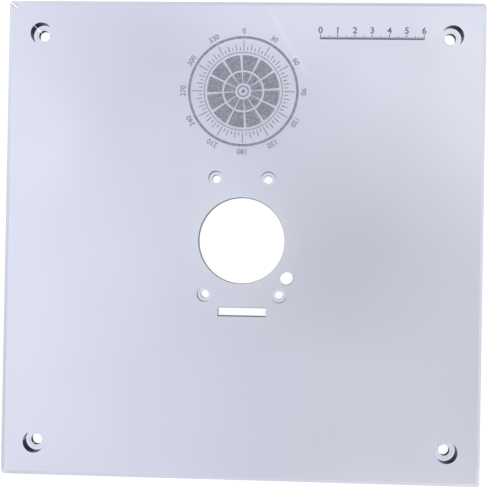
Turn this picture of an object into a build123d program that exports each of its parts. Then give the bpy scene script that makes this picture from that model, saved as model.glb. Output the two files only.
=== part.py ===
from build123d import *
import os

# Router base plate: one square sheet of thick clear plastic that replaces the small base of a
# compact router. All lengths are in millimetres. The origin is the middle of the underside,
# +Z goes up out of the face that carries the counterbores, and +Y goes from the slot towards
# the narrow pair of router screws.

# The sheet
plate_side = 279.4
plate_thickness = 9.525
corner_radius = 2.0
edge_ease = 0.25

# The opening that the router bit works through, in the middle of the sheet
bit_opening_diameter = 50.8

# The four bolt holes in the corners, each with a flat-bottomed counterbore for a bolt head
corner_inset = 19.05
corner_bore_diameter = 6.6
corner_counterbore_diameter = 12.7
corner_counterbore_depth = 6.35

# The four screws that hold the sheet to the router: a narrow pair and a wide pair
screw_bore_diameter = 5.0
screw_counterbore_diameter = 8.6
screw_counterbore_depth = 5.2
narrow_pair_spacing = 30.7
narrow_pair_x = -0.3
narrow_pair_y = 36.35
wide_pair_spacing = 43.8
wide_pair_x = 0.6
wide_pair_y = -31.85

# The plain hole that a long key reaches the router's height adjuster through
adjuster_hole_diameter = 7.7
adjuster_hole_x = 26.85
adjuster_hole_y = -21.8

# The square-ended slot below the bit opening
slot_length = 28.1
slot_width = 5.05
slot_x = 0.8
slot_y = -41.95

# How far every cutting tool runs past the faces of the sheet
overrun = 1.0


def square_sheet():
    """The blank: a square with slightly rounded corners, its top and bottom edges eased."""
    with BuildPart() as blank:
        with BuildSketch(Plane.XY):
            RectangleRounded(plate_side, plate_side, corner_radius)
        extrude(amount=plate_thickness)
        rims = blank.faces().sort_by(Axis.Z)[0].edges() + blank.faces().sort_by(Axis.Z)[-1].edges()
        chamfer(rims, edge_ease)
    return blank.part


def drill(x, y, diameter):
    """A plain round cut through the whole sheet."""
    length = plate_thickness + 2 * overrun
    return Pos(x, y, -overrun) * extrude(Circle(diameter / 2), amount=length)


def counterbored_hole(x, y, diameter, head_diameter, head_depth):
    """A bolt hole with a flat-bottomed recess that sinks the head below the top face."""
    recess_floor = plate_thickness - head_depth
    recess = extrude(Circle(head_diameter / 2), amount=head_depth + overrun)
    return drill(x, y, diameter) + Pos(x, y, recess_floor) * recess


def corner_holes():
    """The same counterbored bolt hole in each corner of the sheet."""
    reach = plate_side / 2 - corner_inset
    return [
        counterbored_hole(x, y, corner_bore_diameter, corner_counterbore_diameter, corner_counterbore_depth)
        for x in (-reach, reach)
        for y in (-reach, reach)
    ]


def screw_pair(middle_x, y, spacing):
    """Two counterbored router screw holes side by side."""
    return [
        counterbored_hole(x, y, screw_bore_diameter, screw_counterbore_diameter, screw_counterbore_depth)
        for x in (middle_x - spacing / 2, middle_x + spacing / 2)
    ]


def slot():
    """The slot, cut square at its ends."""
    outline = Rectangle(slot_length, slot_width)
    return Pos(slot_x, slot_y, -overrun) * extrude(outline, amount=plate_thickness + 2 * overrun)


def base_plate():
    """The finished sheet with every hole cut through it."""
    plate = square_sheet()
    cuts = [drill(0, 0, bit_opening_diameter)]
    cuts += corner_holes()
    cuts += screw_pair(narrow_pair_x, narrow_pair_y, narrow_pair_spacing)
    cuts += screw_pair(wide_pair_x, wide_pair_y, wide_pair_spacing)
    cuts += [drill(adjuster_hole_x, adjuster_hole_y, adjuster_hole_diameter), slot()]
    for cut in cuts:
        plate = plate - cut
    return plate


os.makedirs("parts", exist_ok=True)
sub_parts = {"base_plate": base_plate()}
for name, solid in sub_parts.items():
    export_step(solid, f"parts/{name}.step")
    box = solid.bounding_box().size
    print(f"{name}: {box.X:.2f} x {box.Y:.2f} x {box.Z:.3f} mm, volume {solid.volume:.0f} mm3")
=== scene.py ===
# %% [markdown]
# # A clear plastic router base plate
#
# This lesson dresses one machined sheet of clear plastic: a square plate with a round opening for
# the router bit, sunk bolt and screw holes, a key hole and a slot. The plate is packed from the CAD
# model as a fixed frame, in metres. The origin is the middle of its underside, +Z goes up through
# the sheet and +Y towards the pair of screw holes that sit closer together.

# %% Load the frame
import math

import bmesh
import bpy
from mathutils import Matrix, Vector


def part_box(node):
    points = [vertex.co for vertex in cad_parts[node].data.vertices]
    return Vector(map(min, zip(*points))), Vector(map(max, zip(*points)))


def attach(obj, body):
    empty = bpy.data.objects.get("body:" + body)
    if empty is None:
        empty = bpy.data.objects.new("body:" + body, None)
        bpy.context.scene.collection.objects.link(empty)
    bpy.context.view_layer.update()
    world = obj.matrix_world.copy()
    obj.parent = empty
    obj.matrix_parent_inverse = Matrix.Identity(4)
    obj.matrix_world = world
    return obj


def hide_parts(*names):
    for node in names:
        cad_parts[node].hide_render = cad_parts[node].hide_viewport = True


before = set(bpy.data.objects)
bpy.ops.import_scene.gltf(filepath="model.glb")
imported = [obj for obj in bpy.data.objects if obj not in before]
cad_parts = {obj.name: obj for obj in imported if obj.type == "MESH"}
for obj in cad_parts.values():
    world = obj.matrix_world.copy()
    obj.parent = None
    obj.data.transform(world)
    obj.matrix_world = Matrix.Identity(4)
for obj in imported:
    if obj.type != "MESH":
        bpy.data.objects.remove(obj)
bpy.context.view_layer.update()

MM = 0.001
low_corner, high_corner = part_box("base_plate")
plate_side = high_corner.x - low_corner.x
half_side = plate_side / 2
top_z = high_corner.z
print(f"plate {plate_side / MM:.1f} mm square, {top_z / MM:.3f} mm thick")

# %% [markdown]
# ## The camera
#
# The plate fills the picture, seen almost straight from above by a camera less than half a metre
# away. At that distance the walls of the holes lean outwards in the picture, so the camera's place
# matters: it was found by fitting the plate's outline and the lower rims of its holes. A focal
# length in pixels becomes a lens by the share of the sensor that one pixel takes.

# %% Place the camera
PHOTO_PIXELS = 488
SENSOR_WIDTH = 36.0
FOCAL_PIXELS = 708.09
CAMERA_X = 15.86 * MM
CAMERA_Y = -4.44 * MM
CAMERA_HEIGHT = 413.4 * MM
CAMERA_TILT_DEGREES = (0.382, 1.977, 1.022)
NEAREST_SEEN = 10 * MM


def place_camera():
    """A square-framed camera above the plate, looking down and very slightly across it."""
    tilt = [math.radians(a) for a in CAMERA_TILT_DEGREES]
    bpy.ops.object.camera_add(location=(CAMERA_X, CAMERA_Y, top_z + CAMERA_HEIGHT), rotation=tilt)
    camera = bpy.context.object
    camera.data.sensor_width = SENSOR_WIDTH
    camera.data.lens = FOCAL_PIXELS * SENSOR_WIDTH / PHOTO_PIXELS
    camera.data.clip_start = NEAREST_SEEN
    bpy.context.scene.camera = camera
    bpy.context.scene.view_settings.view_transform = "Standard"
    return camera


print(f"lens {place_camera().data.lens:.1f} mm")

# %% [markdown]
# ## Working by hand, in code
#
# An operator works on everything that is selected, and a new primitive arrives selected, so every
# step starts by clearing the selection. In edit mode, edges and faces are picked in code by where
# they lie. A finished piece keeps its place in its mesh, and its object stays at the origin.

# %% Modelling helpers
NEAR = 0.01 * MM


def only(piece):
    """Selects one object alone and makes it active."""
    bpy.ops.object.select_all(action="DESELECT")
    piece.select_set(True)
    bpy.context.view_layer.objects.active = piece


def settle(piece):
    """Moves a piece's place, turn and size into its mesh."""
    only(piece)
    bpy.ops.object.transform_apply(location=True, rotation=True, scale=True)
    return piece


def bevel_edges(piece, wanted, width, segments):
    """Bevels the edges of a piece that the test wanted(edge) picks."""
    only(piece)
    bpy.ops.object.mode_set(mode="EDIT")
    bpy.ops.mesh.select_mode(type="EDGE")
    bpy.ops.mesh.select_all(action="DESELECT")
    mesh = bmesh.from_edit_mesh(piece.data)
    picked = [edge for edge in mesh.edges if wanted(edge)]
    for edge in picked:
        edge.select = True
    bmesh.update_edit_mesh(piece.data)
    bpy.ops.mesh.bevel(offset=width, segments=segments, affect="EDGES")
    bpy.ops.object.mode_set(mode="OBJECT")
    return len(picked)


def join(pieces, name):
    """Joins pieces into one object, at the origin."""
    bpy.ops.object.select_all(action="DESELECT")
    for piece in pieces:
        piece.select_set(True)
    bpy.context.view_layer.objects.active = pieces[0]
    bpy.ops.object.join()
    whole = settle(bpy.context.object)
    whole.name = name
    return whole


# %% [markdown]
# ## Wiring nodes
#
# Shader trees repeat the same few moves: add a node, do some arithmetic, squeeze a value into a
# range, blend two colours. A short function for each keeps the recipes below readable. They all
# take either a socket, which is linked, or a plain value, which is typed into the input.

# %% Node helpers
def feed(tree, socket, value):
    """Links a socket into an input, or types a plain value into it."""
    if isinstance(value, bpy.types.NodeSocket):
        tree.links.new(value, socket)
    else:
        socket.default_value = value


def add_node(tree, kind, inputs=None, **settings):
    """Adds a shader node with its settings, and feeds its inputs."""
    node = tree.nodes.new(kind)
    for name, value in settings.items():
        setattr(node, name, value)
    for name, value in (inputs or {}).items():
        feed(tree, node.inputs[name], value)
    return node


def calculate(tree, operation, first, second=0.0, clamp=False):
    """The result of one sum, product or comparison."""
    node = add_node(tree, "ShaderNodeMath", {0: first, 1: second}, operation=operation, use_clamp=clamp)
    return node.outputs[0]


def squeeze(tree, value, low, high, to_low=0.0, to_high=1.0):
    """Maps a value from one range to another with soft ends."""
    ranges = {"Value": value, "From Min": low, "From Max": high, "To Min": to_low, "To Max": to_high}
    return add_node(tree, "ShaderNodeMapRange", ranges, interpolation_type="SMOOTHSTEP").outputs[0]


def blend(tree, amount, first, second):
    """A colour between two others."""
    inputs = {"Factor": amount, "A": first, "B": second}
    return add_node(tree, "ShaderNodeMix", inputs, data_type="RGBA").outputs["Result"]


def object_place(tree):
    """Each point's place in metres, in the plate's own frame."""
    return add_node(tree, "ShaderNodeTexCoord").outputs["Object"]


def new_material(name):
    """An empty node material, its tree and its output node."""
    material = bpy.data.materials.new(name)
    material.use_nodes = True
    material.node_tree.nodes.clear()
    return material, material.node_tree, material.node_tree.nodes.new("ShaderNodeOutputMaterial")


def new_group(name, inputs, outputs):
    """An empty node group with named sockets, and its two ends."""
    group = bpy.data.node_groups.new(name, "ShaderNodeTree")
    for side, sockets in (("INPUT", inputs), ("OUTPUT", outputs)):
        for socket, kind in sockets.items():
            group.interface.new_socket(socket, in_out=side, socket_type="NodeSocket" + kind)
    return group, group.nodes.new("NodeGroupInput").outputs, group.nodes.new("NodeGroupOutput").inputs


def fed_group(tree, group, inputs):
    """Places a node group in a tree with its inputs fed."""
    node = add_node(tree, "ShaderNodeGroup", {}, node_tree=group)
    for name, value in inputs.items():
        feed(tree, node.inputs[name], value)
    return node


# %% [markdown]
# ## Floor and light
#
# The plate lies on a plain white floor under a soft grey dome and two large soft lamps, which
# together light a level surface so that a colour renders about as it is written. Whoever looks at
# the floor, straight or through the plastic, also sees a little glow, so it reads as white, and the
# soft shadow of the plate stays on it. The lamps stand outside the directions that the polished
# face mirrors towards the camera, so no hard highlight lies on it.

# %% Floor
FLOOR_SIZE = 6.0
FLOOR_GAP = 0.15 * MM
FLOOR_COLOR = (0.80, 0.80, 0.80, 1)
FLOOR_GLOW = 0.45
HALF_A_BOUNCE = 0.5


def looked_at(tree):
    """1 where the camera looks, straight or by mirrored and bent rays, and 0 for scattered light."""
    path = add_node(tree, "ShaderNodeLightPath").outputs
    bent = calculate(tree, "MAXIMUM", path["Is Glossy Ray"], path["Is Transmission Ray"])
    seen = calculate(tree, "MAXIMUM", path["Is Camera Ray"], bent)
    unscattered = calculate(tree, "LESS_THAN", path["Diffuse Depth"], HALF_A_BOUNCE)
    return calculate(tree, "MULTIPLY", seen, unscattered)


def floor_material():
    """A pale matt floor that glows a little for whoever looks at it."""
    material, tree, output = new_material("floor_white")
    matt = add_node(tree, "ShaderNodeBsdfDiffuse", {"Color": FLOOR_COLOR})
    strength = calculate(tree, "MULTIPLY", looked_at(tree), FLOOR_GLOW)
    glow = add_node(tree, "ShaderNodeEmission", {"Strength": strength})
    both = add_node(tree, "ShaderNodeAddShader", {0: matt.outputs[0], 1: glow.outputs[0]})
    feed(tree, output.inputs["Surface"], both.outputs[0])
    return material


bpy.ops.object.select_all(action="DESELECT")
bpy.ops.mesh.primitive_plane_add(size=FLOOR_SIZE, location=(0, 0, -FLOOR_GAP))
floor = settle(bpy.context.object)
floor.name = "floor"
floor.data.materials.append(floor_material())
print(f"floor {FLOOR_GAP / MM:.2f} mm under the plate")

# %% Lamps and world
LAMPS = {"soft_left": ((-1.7, 0.8, 1.6), 34.0), "soft_right": ((1.7, -0.8, 1.6), 44.0)}
LAMP_SIZE = 2.4
LAMP_MIDDLE = (0.5, 0.5, 0)
LAMP_FADE = (0.05, 0.5)
WHITE = (1, 1, 1, 1)
DOME_LIGHT = 0.68
DOME_WHITE = 1.0


def add_lamp(name, place, power):
    """A large lamp turned towards the plate, whose light fades from its middle to its rim."""
    turn = (-Vector(place)).to_track_quat("-Z", "Y").to_euler()
    bpy.ops.object.light_add(type="AREA", location=place, rotation=turn)
    lamp = bpy.context.object
    lamp.name = name
    lamp.data.size = LAMP_SIZE
    lamp.data.energy = power
    lamp.data.use_nodes = True
    tree = lamp.data.node_tree
    tree.nodes.clear()
    share = add_node(tree, "ShaderNodeNewGeometry").outputs["Parametric"]
    away = add_node(tree, "ShaderNodeVectorMath", {0: share, 1: LAMP_MIDDLE}, operation="DISTANCE")
    strength = squeeze(tree, away.outputs["Value"], *LAMP_FADE, 1, 0)
    light = add_node(tree, "ShaderNodeEmission", {"Strength": strength})
    tree.links.new(light.outputs[0], tree.nodes.new("ShaderNodeOutputLight").inputs["Surface"])


def add_world():
    """A grey dome for light, which looks white."""
    world = bpy.data.worlds.new("studio")
    bpy.context.scene.world = world
    world.use_nodes = True
    tree = world.node_tree
    tree.nodes.clear()
    strength = squeeze(tree, looked_at(tree), 0.0, 1.0, DOME_LIGHT, DOME_WHITE)
    sky = add_node(tree, "ShaderNodeBackground", {"Color": WHITE, "Strength": strength})
    output = tree.nodes.new("ShaderNodeOutputWorld")
    tree.links.new(sky.outputs[0], output.inputs["Surface"])


for lamp_name, (lamp_place, lamp_power) in LAMPS.items():
    add_lamp(lamp_name, lamp_place, lamp_power)
add_world()
print("lamps", sorted(LAMPS))

# %% [markdown]
# ## The sheet
#
# The real plate is cut from thick clear plastic: sawn square, its corners and edges eased, then
# drilled and counterbored. It is modelled in the same order. A cube becomes the blank, bevels ease
# its corners, and cutters shaped like drills are taken away from it by a Boolean modifier. A sunk
# hole needs two cutters, one for the bolt and a wider, shallower one for its head.

# %% Blank
CORNER_RADIUS = 2.0 * MM
EDGE_EASE = 0.25 * MM
CORNER_SEGMENTS = 8
EDGE_SEGMENTS = 2


def stands_upright(edge):
    """True for an edge that runs straight up."""
    rise = edge.verts[0].co - edge.verts[1].co
    return abs(rise.x) < NEAR and abs(rise.y) < NEAR


def lies_level(edge):
    """True for an edge at one height."""
    return abs(edge.verts[0].co.z - edge.verts[1].co.z) < NEAR


def make_blank():
    """The square blank with rounded corners and eased rims."""
    bpy.ops.object.select_all(action="DESELECT")
    bpy.ops.mesh.primitive_cube_add(
        size=1, location=(0, 0, top_z / 2), scale=(plate_side, plate_side, top_z)
    )
    blank = settle(bpy.context.object)
    blank.name = "clear_sheet"
    bevel_edges(blank, stands_upright, CORNER_RADIUS, CORNER_SEGMENTS)
    bevel_edges(blank, lies_level, EDGE_EASE, EDGE_SEGMENTS)
    return blank


sheet = make_blank()
print("blank faces", len(sheet.data.polygons))

# %% Where the holes are
BIT_OPENING = (0.0, 0.0, 25.4 * MM)
ADJUSTER_HOLE = (26.85 * MM, -21.8 * MM, 3.85 * MM)
SLOT_CENTRE = (0.8 * MM, -41.95 * MM)
SLOT_SIZE = (28.1 * MM, 5.05 * MM)
CORNER_REACH = half_side - 19.05 * MM
CORNER_HOLE = {"bore": 3.3 * MM, "recess": 6.35 * MM, "depth": 6.35 * MM}
SCREW_HOLE = {"bore": 2.5 * MM, "recess": 4.3 * MM, "depth": 5.2 * MM}
NARROW_PAIR = (-0.3 * MM, 36.35 * MM, 30.7 * MM)
WIDE_PAIR = (0.6 * MM, -31.85 * MM, 43.8 * MM)


def pair(middle_x, y, spacing):
    """The centres of two holes side by side."""
    return [(middle_x - spacing / 2, y), (middle_x + spacing / 2, y)]


corners = [(x, y) for x in (-CORNER_REACH, CORNER_REACH) for y in (-CORNER_REACH, CORNER_REACH)]
screws = pair(*NARROW_PAIR) + pair(*WIDE_PAIR)
sunk_holes = [(x, y, CORNER_HOLE) for x, y in corners] + [(x, y, SCREW_HOLE) for x, y in screws]
print("sunk holes", len(sunk_holes))

# %% Drill the holes
CUT_OVERRUN = 1.0 * MM
CHORD = 0.7 * MM
EXTRA_SIDES = 6
RIM_EASE = 0.12 * MM
RIM_SEGMENTS = 1
RIM_ANGLE = math.radians(60)
SMOOTH_ANGLE = math.radians(20)


def drill(x, y, radius, bottom=-CUT_OVERRUN):
    """A round cutter from the height bottom up through the top face, in four like quarters."""
    quarter = round(math.tau * radius / CHORD / 4) + EXTRA_SIDES
    height = top_z + CUT_OVERRUN - bottom
    bpy.ops.object.select_all(action="DESELECT")
    bpy.ops.mesh.primitive_cylinder_add(
        vertices=4 * quarter, radius=radius, depth=height, location=(x, y, bottom + height / 2)
    )
    return bpy.context.object


def slot_cutter():
    """A square-ended cutter for the slot."""
    bpy.ops.object.select_all(action="DESELECT")
    bpy.ops.mesh.primitive_cube_add(
        size=1, location=(*SLOT_CENTRE, top_z / 2), scale=(*SLOT_SIZE, top_z + 2 * CUT_OVERRUN)
    )
    return bpy.context.object


def cut_away(piece, cutters):
    """Takes the cutters away from the piece."""
    cutter = join(cutters, "cutter")
    only(piece)
    modifier = piece.modifiers.new("cut", "BOOLEAN")
    modifier.operation = "DIFFERENCE"
    modifier.solver = "EXACT"
    modifier.object = cutter
    bpy.ops.object.modifier_apply(modifier=modifier.name)
    bpy.data.objects.remove(cutter)


def on_hole_rim(edge):
    """True for a sharp edge round a hole, in the top or the bottom face."""
    end = edge.verts[0].co
    on_face = lies_level(edge) and min(abs(end.z - top_z), abs(end.z)) < NEAR
    inside = max(abs(end.x), abs(end.y)) < half_side - CORNER_RADIUS
    return on_face and inside and edge.calc_face_angle(0) > RIM_ANGLE


through = [drill(*BIT_OPENING), drill(*ADJUSTER_HOLE), slot_cutter()]
cut_away(sheet, through + [drill(x, y, hole["bore"]) for x, y, hole in sunk_holes])
cut_away(sheet, [drill(x, y, hole["recess"], top_z - hole["depth"]) for x, y, hole in sunk_holes])
rims = bevel_edges(sheet, on_hole_rim, RIM_EASE, RIM_SEGMENTS)
only(sheet)
bpy.ops.object.shade_smooth_by_angle(angle=SMOOTH_ANGLE)
print("rim edges eased", rims, "faces", len(sheet.data.polygons))

# %% [markdown]
# ## The colour of the plastic, with painted light
#
# Thick polished plastic is never one even colour, and this sheet also carries painted reflection and
# painted shade: it is palest along one side and in one corner, and deepest in a cloud beside its
# opening.
# Painting that by hand would need an image, so it is one small amount between a pale and a deep tint
# instead: soft round spots of painted light and shade and a little noise, worked out from the place on
# the sheet. Two more spots lean the tint a little towards violet or grey. The node group that holds it
# serves the polished faces, the border and the eased edges, each with its own two tints.

# %% Tint group
EVEN_DEPTH = 0.73
LIGHT_AND_SHADE_SPOTS = {
    "pale_left": {"centre": (-150, 5, 10), "flatten": 0.5, "reach": 215, "change": -0.73},
    "pale_corner": {"centre": (135, 145, 10), "flatten": 1.0, "reach": 255, "change": -0.68},
    "pale_foot": {"centre": (115, -115, 10), "flatten": 1.0, "reach": 140, "change": -0.17},
    "pale_brow": {"centre": (10, 140, 10), "flatten": 1.3, "reach": 75, "change": -0.25},
    "pale_shoulder": {"centre": (-124, 68, 10), "flatten": 1.0, "reach": 50, "change": -0.18},
    "pale_knee": {"centre": (30, -84, 10), "flatten": 1.0, "reach": 62, "change": -0.09},
    "deep_head": {"centre": (-72, 112, 10), "flatten": 1.1, "reach": 100, "change": 0.22},
    "deep_brow": {"centre": (20, 48, 10), "flatten": 1.0, "reach": 125, "change": 0.11},
    "deep_cloud": {"centre": (72, 4, 10), "flatten": 1.0, "reach": 88, "change": 0.31},
    "deep_corner": {"centre": (103, 116, 10), "flatten": 1.0, "reach": 34, "change": 0.17},
    "deep_hip": {"centre": (-90, -35, 10), "flatten": 1.0, "reach": 85, "change": 0.09},
    "deep_right": {"centre": (150, -65, 10), "flatten": 0.25, "reach": 34, "change": 0.3},
}
CLOUD_SCALE = 11.0
CLOUD_DETAIL = 1.0
CLOUD_SWING = 0.06
CLOUD_EDGES = (0.3, 0.7)
HUE_SPOTS = {
    "violet_middle": {"centre": (-40, 0, 10), "flatten": 0.25, "reach": 130, "change": 1.0},
    "grey_corner": {"centre": (150, 110, 10), "flatten": 0.7, "reach": 120, "change": -1.45},
}
VIOLET_LEAN = (-0.002, 0.0, 0.0083)


def soft_spot(tree, place, centre, flatten, reach, change):
    """A change, full at a centre and gone at its reach in millimetres, flattened along Y."""
    narrowed = add_node(tree, "ShaderNodeMapping", {"Vector": place, "Scale": (1, flatten, 1)})
    middle = Vector((centre[0], centre[1] * flatten, centre[2])) * MM
    away = add_node(
        tree, "ShaderNodeVectorMath", {0: narrowed.outputs[0], 1: middle}, operation="DISTANCE"
    )
    return squeeze(tree, away.outputs["Value"], 0, reach * MM, change, 0)


def with_spots(tree, place, amount, spots, clamp=False):
    """An amount with the changes of all spots of a table added to it."""
    for spot in spots.values():
        amount = calculate(tree, "ADD", amount, soft_spot(tree, place, **spot), clamp=clamp)
    return amount


def make_tint_group():
    """The plastic's colour at a point of the sheet, between a pale and a deep tint, with painted light
    and shade.
    """
    tints = {"Pale": "Color", "Deep": "Color"}
    group, given, result = new_group("tint_with_painted_light", tints, {"Color": "Color"})
    place = object_place(group)
    cloud = {"Vector": place, "Scale": CLOUD_SCALE, "Detail": CLOUD_DETAIL}
    noise = add_node(group, "ShaderNodeTexNoise", cloud)
    depths = (EVEN_DEPTH - CLOUD_SWING, EVEN_DEPTH + CLOUD_SWING)
    amount = squeeze(group, noise.outputs[0], *CLOUD_EDGES, *depths)
    # The spots are painted reflection and painted shade: lighter and darker patches on the sheet.
    amount = with_spots(group, place, amount, LIGHT_AND_SHADE_SPOTS, clamp=True)
    hue = with_spots(group, place, 0.0, HUE_SPOTS)
    lean = add_node(group, "ShaderNodeVectorMath", {0: VIOLET_LEAN, "Scale": hue}, operation="SCALE")
    tint = blend(group, amount, given["Pale"], given["Deep"])
    leaning = add_node(group, "ShaderNodeVectorMath", {0: tint, 1: lean.outputs[0]}, operation="ADD")
    feed(group, result["Color"], leaning.outputs[0])
    return group


tint_with_painted_light = make_tint_group()
print("tint spots", len(LIGHT_AND_SHADE_SPOTS), "and", len(HUE_SPOTS))

# %% [markdown]
# ## Marks left by tools and by use, and painted glints
#
# A drill leaves fine rings on the floor of a counterbore and on its wall, and a saw leaves lines
# across the edge of the sheet. Both are the same pattern, bands of uneven width along one distance,
# so one group serves all three: it is given that distance and puts out a mask. A second group draws
# the hairlines that a base plate collects as it slides over wood, and one longer pale streak. A third
# draws thin lines of painted light, painted glints in the holes of two corners. They run outwards from
# the axis of the hole, so that group reads a UV map that holds each point's place about its own hole.

# %% Tool marks
BAND_SCALE = 1300.0
BAND_DETAIL = 1.0
BAND_EDGES = (0.35, 0.65)


def make_tool_marks_group():
    """Uneven bands along a distance, as a mask from 0 to 1."""
    group, given, result = new_group("tool_marks", {"Distance": "Float"}, {"Mask": "Float"})
    bands = add_node(
        group,
        "ShaderNodeTexNoise",
        {"W": given["Distance"], "Scale": BAND_SCALE, "Detail": BAND_DETAIL},
        noise_dimensions="1D",
    )
    feed(group, result["Mask"], squeeze(group, bands.outputs[0], *BAND_EDGES))
    return group


tool_marks = make_tool_marks_group()
print("tool marks, about", BAND_SCALE, "bands a metre")

# %% Hairlines and the pale streak
HAIRLINE_ANGLES = (24.0, 117.0)
HAIRLINE_STRETCH = (14.0, 1900.0, 1.0)
HAIRLINE_EDGE = (0.7, 0.78)
PALE_STREAK = {"ends": ((11.5 * MM, 140.3 * MM), (40 * MM, 92.2 * MM)), "width": 1.9 * MM, "fade": 0.4}


def soft_line(tree, place, ends, width, fade):
    """A straight line between two ends, soft at its sides and over a share fade of each half."""
    start, end = (Vector((*point, 0)) for point in ends)
    reach = (end - start).length
    turn = math.atan2(end.y - start.y, end.x - start.x)
    local = add_node(
        tree,
        "ShaderNodeMapping",
        {"Vector": place, "Location": start, "Rotation": (0, 0, turn)},
        vector_type="TEXTURE",
    )
    along, across, _ = add_node(tree, "ShaderNodeSeparateXYZ", {0: local.outputs[0]}).outputs
    narrow = squeeze(tree, calculate(tree, "ABSOLUTE", across), 0, width, 1, 0)
    half = reach / 2
    from_middle = calculate(tree, "ABSOLUTE", calculate(tree, "SUBTRACT", along, half))
    within = squeeze(tree, from_middle, half * (1 - fade), half, 1, 0)
    return calculate(tree, "MULTIPLY", narrow, within)


def make_hairline_group():
    """Sparse thin scratches in two directions, and one long pale streak, as masks from 0 to 1."""
    group, _, result = new_group("hairlines", {}, {"Hairlines": "Float", "Pale streak": "Float"})
    place = object_place(group)
    mask = 0.0
    for angle in HAIRLINE_ANGLES:
        turned = add_node(
            group,
            "ShaderNodeMapping",
            {"Vector": place, "Rotation": (0, 0, math.radians(angle)), "Scale": HAIRLINE_STRETCH},
        )
        noise = add_node(group, "ShaderNodeTexNoise", {"Vector": turned.outputs[0], "Scale": 1.0})
        mask = calculate(group, "MAXIMUM", squeeze(group, noise.outputs[0], *HAIRLINE_EDGE), mask)
    feed(group, result["Hairlines"], mask)
    feed(group, result["Pale streak"], soft_line(group, place, **PALE_STREAK))
    return group


hairlines = make_hairline_group()
print("hairlines in", len(HAIRLINE_ANGLES), "directions")

# %% Glints
GLINT_WIDTHS = (0.25 * MM, 0.55 * MM)
GLINTS = (
    {"corner": (-1, 1), "turn": 134, "span": (0, 7)},
    {"corner": (-1, -1), "turn": 228, "span": (0, 3.5)},
    {"corner": (-1, -1), "turn": 169.5, "span": (6, 7)},
)
GLINT_REACH = 150 * MM


def glint(tree, local, place, corner, turn, span):
    """One thin line of painted light that runs outwards from the axis of a corner's hole."""
    turned = add_node(
        tree,
        "ShaderNodeMapping",
        {"Vector": local, "Rotation": (0, 0, math.radians(turn))},
        vector_type="TEXTURE",
    )
    outward, across, _ = add_node(tree, "ShaderNodeSeparateXYZ", {0: turned.outputs[0]}).outputs
    line = squeeze(tree, calculate(tree, "ABSOLUTE", across), *GLINT_WIDTHS, 1, 0)
    towards = add_node(
        tree, "ShaderNodeVectorMath", {0: place, 1: (*corner, 0)}, operation="DOT_PRODUCT"
    )
    tests = (
        calculate(tree, "GREATER_THAN", towards.outputs["Value"], GLINT_REACH),
        calculate(tree, "GREATER_THAN", outward, span[0] * MM),
        calculate(tree, "LESS_THAN", outward, span[1] * MM),
    )
    for test in tests:
        line = calculate(tree, "MULTIPLY", line, test)
    return line


def make_glint_group():
    """The thin lines of painted light in the holes of two corners."""
    group, _, result = new_group("corner_glint", {}, {"Mask": "Float"})
    local = add_node(group, "ShaderNodeUVMap", uv_map="tool_path").outputs[0]
    place = object_place(group)
    mask = 0.0
    for values in GLINTS:
        mask = calculate(group, "MAXIMUM", glint(group, local, place, **values), mask)
    feed(group, result["Mask"], mask)
    return group


corner_glint = make_glint_group()
print("glints", len(GLINTS))

# %% [markdown]
# ## One plastic
#
# The plastic bends light like acrylic. A glass shader would throw a black shadow, so lamplight
# passes straight through it with the tint of the plastic. The sheet has six finishes of this one
# plastic, which differ in how rough they are and in how much of the light they let through clear.
# Some look one way from the air and another from inside, and Backfacing tells the two apart.

# %% The plastic's shader
PLASTIC_IOR = 1.49
GLINT_GLOW = 0.25


def shine_through(tree, output, surface, tint):
    """Ends a material so that light on its way to the floor passes straight through with a tint."""
    clear = add_node(tree, "ShaderNodeBsdfTransparent", {"Color": tint})
    path = add_node(tree, "ShaderNodeLightPath").outputs
    passing = calculate(tree, "MAXIMUM", path["Is Shadow Ray"], path["Is Diffuse Ray"])
    mix = add_node(tree, "ShaderNodeMixShader", {0: passing, 1: surface, 2: clear.outputs[0]})
    tree.links.new(mix.outputs[0], output.inputs["Surface"])


def glass(tree, color, roughness, clear_share=1.0):
    """The plastic's shader. A matt surface lets only a share of the light through clear."""
    inputs = {
        "Base Color": color,
        "Roughness": roughness,
        "IOR": PLASTIC_IOR,
        "Transmission Weight": clear_share,
    }
    return add_node(tree, "ShaderNodeBsdfPrincipled", inputs).outputs[0]


def glowing(tree, surface, mask):
    """Lets a shader glow a little where a mask says: painted light along a fine line."""
    surface.node.inputs["Emission Strength"].default_value = GLINT_GLOW
    feed(tree, surface.node.inputs["Emission Color"], mask)
    return surface


def two_sided(tree, from_air, from_inside):
    """A surface that looks one way from the air and another from inside the plastic."""
    inside = add_node(tree, "ShaderNodeNewGeometry").outputs["Backfacing"]
    return add_node(tree, "ShaderNodeMixShader", {0: inside, 1: from_air, 2: from_inside}).outputs[0]
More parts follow.
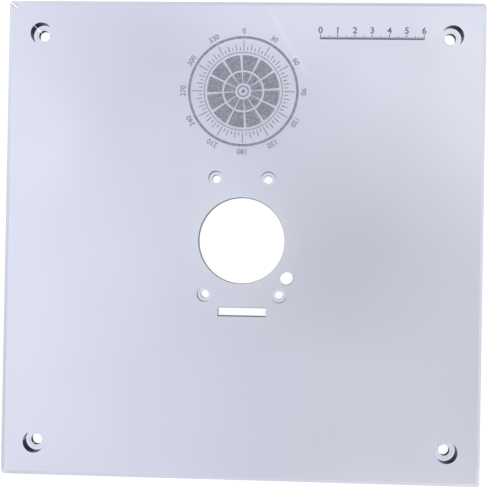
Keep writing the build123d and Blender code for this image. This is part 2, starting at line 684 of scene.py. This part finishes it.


# %% [markdown]
# ## The border and the painted highlight on one corner
#
# The four sides show through the top face as a border all round. Its width comes from the bending of
# the light, and a mask on that face paints the border's light onto it, in the tint of the sawn plastic
# behind it. The border is brighter or darker along some stretches, and these are soft spots of painted
# light and painted shade, placed on it. Across one corner, where two sides meet, runs a fine painted
# highlight, with painted shade beside it.

# %% The border
RIM_WIDTHS = (2.15 * MM, 1.55 * MM)
RIM_LEAN = (0.15 * MM, 0.0)
RIM_BY_PALE = (0.62, 0.63, 0.69, 1)
RIM_BY_DEEP = (0.84, 0.85, 0.91, 1)
RIM_EVEN_SHADE = 1.04
RIM_LIGHT_AND_SHADE_SPOTS = {
    "bright_left_head": {"centre": (-140, 130, 10), "flatten": 0.25, "reach": 30, "change": 0.2},
    "dark_left_foot": {"centre": (-140, -140, 10), "flatten": 0.15, "reach": 36, "change": -0.2},
    "dark_top_right": {"centre": (110, 140, 10), "flatten": 30.0, "reach": 230, "change": -0.33},
    "dark_foot_left": {"centre": (-140, -140, 10), "flatten": 12.0, "reach": 130, "change": -0.03},
    "bright_right": {"centre": (140, 0, 10), "flatten": 0.15, "reach": 40, "change": 0.15},
    "bright_foot_right": {"centre": (140, -140, 10), "flatten": 12.0, "reach": 150, "change": 0.13},
    "bright_corner_top": {"centre": (140, 135, 10), "flatten": 1.0, "reach": 9, "change": 0.22},
    "bright_corner_left": {"centre": (-139, -139, 10), "flatten": 1.0, "reach": 6, "change": 0.4},
    "bright_corner_right": {"centre": (138, -139, 10), "flatten": 1.0, "reach": 12, "change": 0.22},
}


def on_top_face(tree, mask):
    """A mask kept on the top face and cleared on the bottom one."""
    z = add_node(tree, "ShaderNodeSeparateXYZ", {0: object_place(tree)}).outputs["Z"]
    return calculate(tree, "MULTIPLY", mask, calculate(tree, "GREATER_THAN", z, top_z / 2))


def rim_mask(tree):
    """1 on the border of a face, where the sides show through it, and 0 further in."""
    x, y, _ = add_node(tree, "ShaderNodeSeparateXYZ", {0: object_place(tree)}).outputs
    reaches = [
        calculate(tree, "ABSOLUTE", calculate(tree, "SUBTRACT", value, lean))
        for value, lean in zip((x, y), RIM_LEAN)
    ]
    reach = calculate(tree, "MAXIMUM", *reaches)
    return squeeze(tree, reach, *(half_side - width for width in RIM_WIDTHS))


def rim_color(tree):
    """The border's tint, with painted light and painted shade along some stretches."""
    tint = fed_group(tree, tint_with_painted_light, {"Pale": RIM_BY_PALE, "Deep": RIM_BY_DEEP}).outputs[0]
    shade = with_spots(tree, object_place(tree), RIM_EVEN_SHADE, RIM_LIGHT_AND_SHADE_SPOTS)
    shaded = add_node(tree, "ShaderNodeVectorMath", {0: tint, "Scale": shade}, operation="SCALE")
    return shaded.outputs[0]


print("border spots", len(RIM_LIGHT_AND_SHADE_SPOTS))

# %% The painted highlight on one corner
MITRE_ENDS = ((-139.1 * MM, 139.0 * MM), (-134.9 * MM, 135.4 * MM))
MITRE_LINE = {"ends": MITRE_ENDS, "width": 0.85 * MM, "fade": 0.1}
MITRE_FLANK = {"ends": MITRE_ENDS, "width": 2.1 * MM, "fade": 0.3}
MITRE_SHADE = (0.30, 0.31, 0.33, 1)


def mitre_glint(tree, color):
    """A colour with a painted highlight along one corner and painted shade beside it, and the
    highlight's mask.
    """
    place = object_place(tree)
    flank = on_top_face(tree, soft_line(tree, place, **MITRE_FLANK))
    line = on_top_face(tree, soft_line(tree, place, **MITRE_LINE))
    return blend(tree, line, blend(tree, flank, color, MITRE_SHADE), WHITE), line


# %% [markdown]
# ## Polished faces
#
# The two faces are polished clear, and they take the tint of the sheet with its painted light and
# shade. Hairlines make them a little paler and rougher, and the pale streak only paler. The border and
# the painted highlight on one corner lie on the top face alone.

# %% Polished faces
PALE_TINT = (0.808, 0.820, 0.893, 1)
DEEP_TINT = (0.642, 0.651, 0.702, 1)
HAIRLINE_LIFT = 0.15
PALE_STREAK_TINT = (0.86, 0.87, 0.92, 1)
PALE_STREAK_LIFT = 0.5
POLISHED_ROUGHNESS = (0.02, 0.1)


def polished_material():
    """The two polished faces, clear, with painted light and shade, hairlines and a pale streak."""
    material, tree, output = new_material("clear_plastic")
    face_tint_and_light = fed_group(tree, tint_with_painted_light, {"Pale": PALE_TINT, "Deep": DEEP_TINT}).outputs[0]
    tint = blend(tree, on_top_face(tree, rim_mask(tree)), face_tint_and_light, rim_color(tree))
    marks = fed_group(tree, hairlines, {}).outputs
    scratched = blend(
        tree, calculate(tree, "MULTIPLY", marks["Hairlines"], HAIRLINE_LIFT), tint, PALE_TINT
    )
    streaked = blend(tree, calculate(tree, "MULTIPLY", marks["Pale streak"], PALE_STREAK_LIFT), scratched, PALE_STREAK_TINT)
    roughness = squeeze(tree, marks["Hairlines"], 0, 1, *POLISHED_ROUGHNESS)
    color, line = mitre_glint(tree, streaked)
    shine_through(tree, output, glowing(tree, glass(tree, color, roughness), line), tint)
    return material


# %% [markdown]
# ## Counterbore floors and hole walls
#
# A flat drill leaves the floors of the counterbores matt, with fine rings, and the wide ones carry a
# ring of painted light along their walls. The lower rims of the holes are as matt, so they share this
# finish.
#
# Light that enters the wall of a hole is trapped in the sheet and comes out at its edges, so seen
# from the air a wall is nearly black, with a faint gloss, and that near-black is painted shade in its
# colour. It is painted paler where it is looked at squarely, and in one band of slanting angles it
# takes on a painted soft grey. From inside the plastic the same wall is a mirror, which is why its far
# side can't be seen.

# %% Counterbore floors
PALE_RECESS = (0.88, 0.89, 0.94, 1)
DEEP_RECESS = (0.80, 0.81, 0.87, 1)
RECESS_PAINTED_LIGHT_RANGE = (4.4 * MM, 5.4 * MM)
RECESS_PAINTED_LIGHT = 0.45
RECESS_ROUGHNESS = 0.15


def recess_floor_material():
    """The floor of a counterbore, with rings from the tool round its own axis."""
    material, tree, output = new_material("counterbored_floor")
    local = add_node(tree, "ShaderNodeUVMap", uv_map="tool_path").outputs[0]
    radius = add_node(tree, "ShaderNodeVectorMath", {0: local}, operation="LENGTH").outputs["Value"]
    rings = fed_group(tree, tool_marks, {"Distance": radius}).outputs[0]
    painted_glint = fed_group(tree, corner_glint, {}).outputs[0]
    # Painted light: a paler ring along the wall of a wide counterbore.
    painted_ring_light = squeeze(tree, radius, *RECESS_PAINTED_LIGHT_RANGE, 0, RECESS_PAINTED_LIGHT)
    ringed = blend(tree, painted_ring_light, blend(tree, rings, DEEP_RECESS, PALE_RECESS), WHITE)
    color = blend(tree, painted_glint, ringed, WHITE)
    shine_through(
        tree, output, glowing(tree, glass(tree, color, RECESS_ROUGHNESS), painted_glint), PALE_RECESS
    )
    return material


# %% Hole walls
WALL_IOR = 1.05
WALL_ROUGHNESS = (0.15, 0.3)
WALL_SHADE = (0.018, 0.020, 0.029, 1)
WALL_BAND = (0.046, 0.050, 0.066, 1)
WALL_FACING = (0.38, 0.40, 0.47, 1)
WALL_FACING_RANGE = (0.2, 0.62)
WALL_SOFT = (0.13, 0.135, 0.16, 1)
WALL_SOFT_RANGE = (0.6, 0.78)
WALL_DARK_RANGE = (0.82, 0.9)
WALL_SOFT_REST = 0.3
WALL_GLINT = (0.50, 0.52, 0.60, 1)
FACING_BLEND = 0.5


def wall_color(tree, bands):
    """The painted shade of a wall seen from the air, with its tool bands, by the angle at which it is
    looked at.
    """
    slant = add_node(tree, "ShaderNodeLayerWeight", {"Blend": FACING_BLEND}).outputs["Facing"]
    shade = blend(tree, squeeze(tree, slant, *WALL_FACING_RANGE), WALL_FACING, WALL_SHADE)
    rising = squeeze(tree, slant, *WALL_SOFT_RANGE)
    falling = squeeze(tree, slant, *WALL_DARK_RANGE, 1, WALL_SOFT_REST)
    soft = calculate(tree, "MULTIPLY", rising, falling)
    return blend(tree, soft, blend(tree, bands, shade, WALL_BAND), WALL_SOFT)


def hole_wall_material():
    """The wall of a hole: painted nearly black from the air, a mirror from inside the plastic."""
    material, tree, output = new_material("drilled_wall")
    z = add_node(tree, "ShaderNodeSeparateXYZ", {0: object_place(tree)}).outputs["Z"]
    bands = fed_group(tree, tool_marks, {"Distance": z}).outputs[0]
    painted_glint = fed_group(tree, corner_glint, {}).outputs[0]
    inputs = {
        "Base Color": blend(tree, painted_glint, wall_color(tree, bands), WALL_GLINT),
        "Roughness": squeeze(tree, bands, 0, 1, *WALL_ROUGHNESS),
        "IOR": WALL_IOR,
    }
    drilled = add_node(tree, "ShaderNodeBsdfPrincipled", inputs).outputs[0]
    shine_through(tree, output, two_sided(tree, drilled, glass(tree, WHITE, 0.0)), WHITE)
    return material


# %% [markdown]
# ## Sides, edges and corners
#
# The four sides are sawn, which leaves fine lines across them. The eased edges are rubbed matt by
# hand, so that they catch the light. The rounded corners are buffed clear, and each is a narrow lens
# with a streak of light.

# %% Sawn sides
SIDE_CLEAR_SHARE = 0.4
SAW_FINENESS = 2.2
SAW_GROOVE = (0.83, 0.85, 0.92, 1)
SAW_RIDGE = (0.91, 0.93, 0.98, 1)
SAWN_ROUGHNESS = (0.3, 0.4)
SAWN_INNER_ROUGHNESS = 0.1


def sawn_side_material():
    """The four sides, with fine lines across them from the saw."""
    material, tree, output = new_material("sawn_side")
    x, y, _ = add_node(tree, "ShaderNodeSeparateXYZ", {0: object_place(tree)}).outputs
    along = calculate(tree, "MULTIPLY", calculate(tree, "ADD", x, y), SAW_FINENESS)
    lines = fed_group(tree, tool_marks, {"Distance": along}).outputs[0]
    color = blend(tree, lines, SAW_GROOVE, SAW_RIDGE)
    frosted = glass(tree, color, squeeze(tree, lines, 0, 1, *SAWN_ROUGHNESS), SIDE_CLEAR_SHARE)
    inner = glass(tree, SAW_RIDGE, SAWN_INNER_ROUGHNESS)
    shine_through(tree, output, two_sided(tree, frosted, inner), PALE_TINT)
    return material


# %% Eased edges
EASED_CLEAR_SHARE = 0.7
EASED_TINT = (0.58, 0.59, 0.65, 1)
EASED_DEEP = (0.58, 0.59, 0.64, 1)
EASED_ROUGHNESS = 0.3


def eased_edge_material():
    """The eased edges, rubbed matt by hand, so that they catch the light."""
    material, tree, output = new_material("eased_edge")
    frosted = glass(tree, EASED_TINT, EASED_ROUGHNESS, EASED_CLEAR_SHARE)
    through = fed_group(tree, tint_with_painted_light, {"Pale": PALE_TINT, "Deep": EASED_DEEP}).outputs[0]
    clear = add_node(tree, "ShaderNodeBsdfTransparent", {"Color": through}).outputs[0]
    shine_through(tree, output, two_sided(tree, frosted, clear), PALE_TINT)
    return material


# %% Rounded corners
BUFFED_CLEAR_SHARE = 0.65
BUFFED_ROUGHNESS = 0.12
BUFFED_INNER_ROUGHNESS = 0.06


def rounded_corner_material():
    """The rounded corners, buffed clear, so that each is a narrow lens with a streak of light."""
    material, tree, output = new_material("rounded_corner")
    buffed = glass(tree, SAW_RIDGE, BUFFED_ROUGHNESS, BUFFED_CLEAR_SHARE)
    inner = glass(tree, SAW_RIDGE, BUFFED_INNER_ROUGHNESS)
    shine_through(tree, output, two_sided(tree, buffed, inner), PALE_TINT)
    return material


# %% [markdown]
# ## Dressing the sheet
#
# The place of a face and the way it points tell which tool made it, so each face finds its own
# finish. The drilled faces also get a UV map that holds each point's place about the axis of its own
# hole, because the rings and the glints follow that axis.

# %% Dress the sheet
STEEP = 0.5
LEVEL = 0.99
TILTED = 0.01
FINISHES = (
    polished_material,
    hole_wall_material,
    sawn_side_material,
    eased_edge_material,
    rounded_corner_material,
    recess_floor_material,
)


def well_inside(face):
    """True for a face away from the sheet's four sides."""
    return max(abs(face.center.x), abs(face.center.y)) < half_side - CORNER_RADIUS


def finish_of(face):
    """The name of the finish that a face of the sheet takes, by its place and its normal."""
    rise = abs(face.normal.z)
    if well_inside(face):
        if rise < STEEP:
            return "drilled_wall"
        floor_or_lower_rim = NEAR < face.center.z < top_z - RIM_EASE
        return "counterbored_floor" if floor_or_lower_rim else "clear_plastic"
    if rise > LEVEL:
        return "clear_plastic"
    if rise > TILTED:
        return "eased_edge"
    straight = max(abs(face.normal.x), abs(face.normal.y)) > LEVEL
    return "sawn_side" if straight else "rounded_corner"


def map_tool_path(piece):
    """A UV map that holds each drilled face's place about its own hole's axis, in metres."""
    layer = piece.data.uv_layers.new(name="tool_path")
    for face in piece.data.polygons:
        if finish_of(face) not in ("drilled_wall", "counterbored_floor"):
            continue
        axis = min(sunk_holes, key=lambda hole: math.dist(hole[:2], face.center.xy))[:2]
        for loop in face.loop_indices:
            place = piece.data.vertices[piece.data.loops[loop].vertex_index].co
            layer.data[loop].uv = (place.x - axis[0], place.y - axis[1])


for make in FINISHES:
    sheet.data.materials.append(make())
for face in sheet.data.polygons:
    face.material_index = sheet.data.materials.find(finish_of(face))
map_tool_path(sheet)
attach(sheet, "root")
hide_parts("base_plate")
print("finishes", [m.name for m in sheet.data.materials])

# %% [markdown]
# ## Frosted marks
#
# Marks on such a plate are etched into the polished face, which turns matt and grey there. They are
# made here as thin closed skins that lie on the face: an angle dial for setting a fence, and a short
# centimetre scale. A ring is a small upright rectangle spun about the dial's centre, a tick is a
# flat bar, and the digits are text that is made a mesh and joined to them.

# %% Mark helpers
MARK_LIFT = 0.01 * MM
MARK_THICKNESS = 0.03 * MM
MARK_Z = top_z + MARK_LIFT + MARK_THICKNESS / 2
MERGE_SHARE = 0.1
DEGREES_PER_STEP = 3
FULL_TURN = 360
DIGIT_SHARE = 0.7
BOLD_SHARE = 0.03


def clean_skin(piece):
    """Merges doubled points and turns all faces outwards."""
    only(piece)
    bpy.ops.object.mode_set(mode="EDIT")
    bpy.ops.mesh.select_all(action="SELECT")
    bpy.ops.mesh.remove_doubles(threshold=MARK_THICKNESS * MERGE_SHARE)
    bpy.ops.mesh.delete_loose()
    bpy.ops.mesh.select_all(action="SELECT")
    bpy.ops.mesh.normals_make_consistent(inside=False)
    bpy.ops.object.mode_set(mode="OBJECT")


def at_angle(centre, radius, turn):
    """The place at a radius from a centre, in the direction turn."""
    return centre[0] + radius * math.cos(turn), centre[1] + radius * math.sin(turn)


def tick_length(lengths, count):
    """The length of the tick at a count: the longest whose step divides it."""
    return max(length for step, length in lengths.items() if count % step == 0) * MM


def spun_ring(centre, inner, outer, start=0, sweep=FULL_TURN):
    """A flat ring about a centre, or a part of one, spun from an upright rectangle."""
    turn = math.radians(start)
    place = (*at_angle(centre, (inner + outer) / 2, turn), MARK_Z)
    bpy.ops.object.select_all(action="DESELECT")
    bpy.ops.mesh.primitive_plane_add(size=1, location=place, rotation=(math.pi / 2, 0, turn))
    bpy.context.object.scale = (outer - inner, MARK_THICKNESS, 1)
    ring = settle(bpy.context.object)
    bpy.ops.object.mode_set(mode="EDIT")
    bpy.ops.mesh.select_all(action="SELECT")
    if sweep == FULL_TURN:
        bpy.ops.mesh.delete(type="ONLY_FACE")
        bpy.ops.mesh.select_all(action="SELECT")
    bpy.ops.mesh.spin(
        steps=round(sweep / DEGREES_PER_STEP),
        angle=math.radians(sweep),
        center=(*centre, 0),
        axis=(0, 0, 1),
    )
    bpy.ops.object.mode_set(mode="OBJECT")
    clean_skin(ring)
    return ring


def bar(x, y, length, width, turn=0.0):
    """A flat bar centred on a place, its length along the direction turn."""
    bpy.ops.object.select_all(action="DESELECT")
    bpy.ops.mesh.primitive_cube_add(
        size=1, location=(x, y, MARK_Z), rotation=(0, 0, turn), scale=(length, width, MARK_THICKNESS)
    )
    return bpy.context.object


def digits(text, x, y, height, turn=0.0):
    """Digits of a given height centred on a place, made a mesh."""
    bpy.ops.object.select_all(action="DESELECT")
    bpy.ops.object.text_add(location=(x, y, MARK_Z), rotation=(0, 0, turn))
    label = bpy.context.object
    label.data.body = text
    label.data.size = height / DIGIT_SHARE
    label.data.align_x = "CENTER"
    label.data.align_y = "CENTER"
    label.data.extrude = MARK_THICKNESS / 2
    label.data.offset = height * BOLD_SHARE
    bpy.ops.object.convert(target="MESH")
    label = bpy.context.object
    clean_skin(label)
    return label


# %% Angle dial
DIAL_CENTRE = (-0.5 * MM, 87.4 * MM)
DIAL_RINGS = ((0.0, 1.1), (2.6, 3.4), (22.6, 23.1), (30.9, 32.4))
DIAL_SECTORS = ((4.8, 11.2), (12.4, 21.2))
SECTOR_SPAN = 30
SECTOR_GAP = 4
TICK_LENGTHS = {5: 2.2, 10: 3.6, 30: 6.0}
TICK_WIDTH = 0.55
TICK_START = 24.0
NUMBER_RADIUS = 35.2
NUMBER_HEIGHT = 3.0
QUARTER_TURN = 90


def dial_turn(degrees):
    """The direction of an angle on the dial, which counts clockwise from its top."""
    return math.radians(QUARTER_TURN - degrees)


def dial_sectors():
    """Two rows of sectors with clear spokes between them."""
    return [
        spun_ring(
            DIAL_CENTRE, inner * MM, outer * MM, start + SECTOR_GAP / 2, SECTOR_SPAN - SECTOR_GAP
        )
        for inner, outer in DIAL_SECTORS
        for start in range(0, FULL_TURN, SECTOR_SPAN)
    ]


def make_dial():
    """Rings, sectors, a tick at each small step and a number at each large one."""
    pieces = [spun_ring(DIAL_CENTRE, inner * MM, outer * MM) for inner, outer in DIAL_RINGS]
    pieces += dial_sectors()
    for degrees in range(0, FULL_TURN, min(TICK_LENGTHS)):
        turn = dial_turn(degrees)
        length = tick_length(TICK_LENGTHS, degrees)
        x, y = at_angle(DIAL_CENTRE, TICK_START * MM + length / 2, turn)
        pieces.append(bar(x, y, length, TICK_WIDTH * MM, turn))
    for degrees in range(0, FULL_TURN, max(TICK_LENGTHS)):
        turn = dial_turn(degrees)
        x, y = at_angle(DIAL_CENTRE, NUMBER_RADIUS * MM, turn)
        upright = turn - math.radians(QUARTER_TURN)
        pieces.append(digits(str(degrees), x, y, NUMBER_HEIGHT * MM, upright))
    return join(pieces, "angle_dial")


dial = make_dial()
print("dial", len(dial.data.vertices), "points")

# %% Centimetre scale
SCALE_START = (44.0 * MM, 118.6 * MM)
SCALE_LENGTH = 60
SCALE_TICKS = {1: 1.2, 5: 1.8, 10: 2.6}
CENTIMETRE = max(SCALE_TICKS)
SCALE_TICK_WIDTH = 0.5
SCALE_LINE = 0.8
SCALE_NUMBER_HEIGHT = 3.6
SCALE_NUMBER_RISE = 4.8


def make_scale():
    """A base line with a tick each millimetre and a number each centimetre."""
    x, y = SCALE_START
    pieces = [bar(x + SCALE_LENGTH * MM / 2, y, (SCALE_LENGTH + SCALE_TICK_WIDTH) * MM, SCALE_LINE * MM)]
    for step in range(SCALE_LENGTH + 1):
        length = tick_length(SCALE_TICKS, step)
        pieces.append(bar(x + step * MM, y + length / 2, SCALE_TICK_WIDTH * MM, length))
        if step % CENTIMETRE == 0:
            place = (x + step * MM, y + SCALE_NUMBER_RISE * MM)
            pieces.append(digits(str(step // CENTIMETRE), *place, SCALE_NUMBER_HEIGHT * MM))
    return join(pieces, "centimetre_scale")


scale = make_scale()
print("scale", len(scale.data.vertices), "points")

# %% [markdown]
# ## Etched finish
#
# Etching leaves a fine speckle: tiny pits that scatter light, with clear plastic between them. Both
# marks use the same speckle, finer than a millimetre, and differ in how dark it is.

# %% Etch speckle
SPECKLE_SCALE = 1400.0
SPECKLE_DETAIL = 2.0
PIT_EDGES = (0.4, 0.62)


def make_speckle_group():
    """A fine speckle between two colours, and the height of its pits."""
    group, given, result = new_group(
        "etch_speckle", {"Pit": "Color", "Clear": "Color"}, {"Color": "Color", "Height": "Float"}
    )
    inputs = {"Vector": object_place(group), "Scale": SPECKLE_SCALE, "Detail": SPECKLE_DETAIL}
    noise = add_node(group, "ShaderNodeTexNoise", inputs)
    pits = squeeze(group, noise.outputs[0], *PIT_EDGES)
    feed(group, result["Color"], blend(group, pits, given["Pit"], given["Clear"]))
    feed(group, result["Height"], pits)
    return group


etch_speckle = make_speckle_group()
print("speckle, about", SPECKLE_SCALE, "grains a metre")

# %% Etched materials
ETCHED_PALE = {"pit": (0.20, 0.21, 0.265, 1), "clear": (0.36, 0.38, 0.46, 1)}
ETCHED_DARK = {"pit": (0.09, 0.10, 0.13, 1), "clear": (0.19, 0.20, 0.25, 1)}
ETCH_SHADOW = (0.8, 0.8, 0.82, 1)
ETCH_ROUGHNESS = 0.6
ETCH_BUMP = {"Strength": 0.4, "Distance": 0.02 * MM}


def etched_material(name, pit, clear):
    """A matt etched mark."""
    material, tree, output = new_material(name)
    speckle = fed_group(tree, etch_speckle, {"Pit": pit, "Clear": clear}).outputs
    bump = add_node(tree, "ShaderNodeBump", {"Height": speckle["Height"], **ETCH_BUMP})
    inputs = {"Base Color": speckle["Color"], "Roughness": ETCH_ROUGHNESS, "Normal": bump.outputs[0]}
    surface = add_node(tree, "ShaderNodeBsdfPrincipled", inputs).outputs[0]
    shine_through(tree, output, surface, ETCH_SHADOW)
    return material


dial.data.materials.append(etched_material("etched_pale", **ETCHED_PALE))
scale.data.materials.append(etched_material("etched_dark", **ETCHED_DARK))
for mark in (dial, scale):
    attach(mark, "root")
print("marks", dial.name, scale.name)
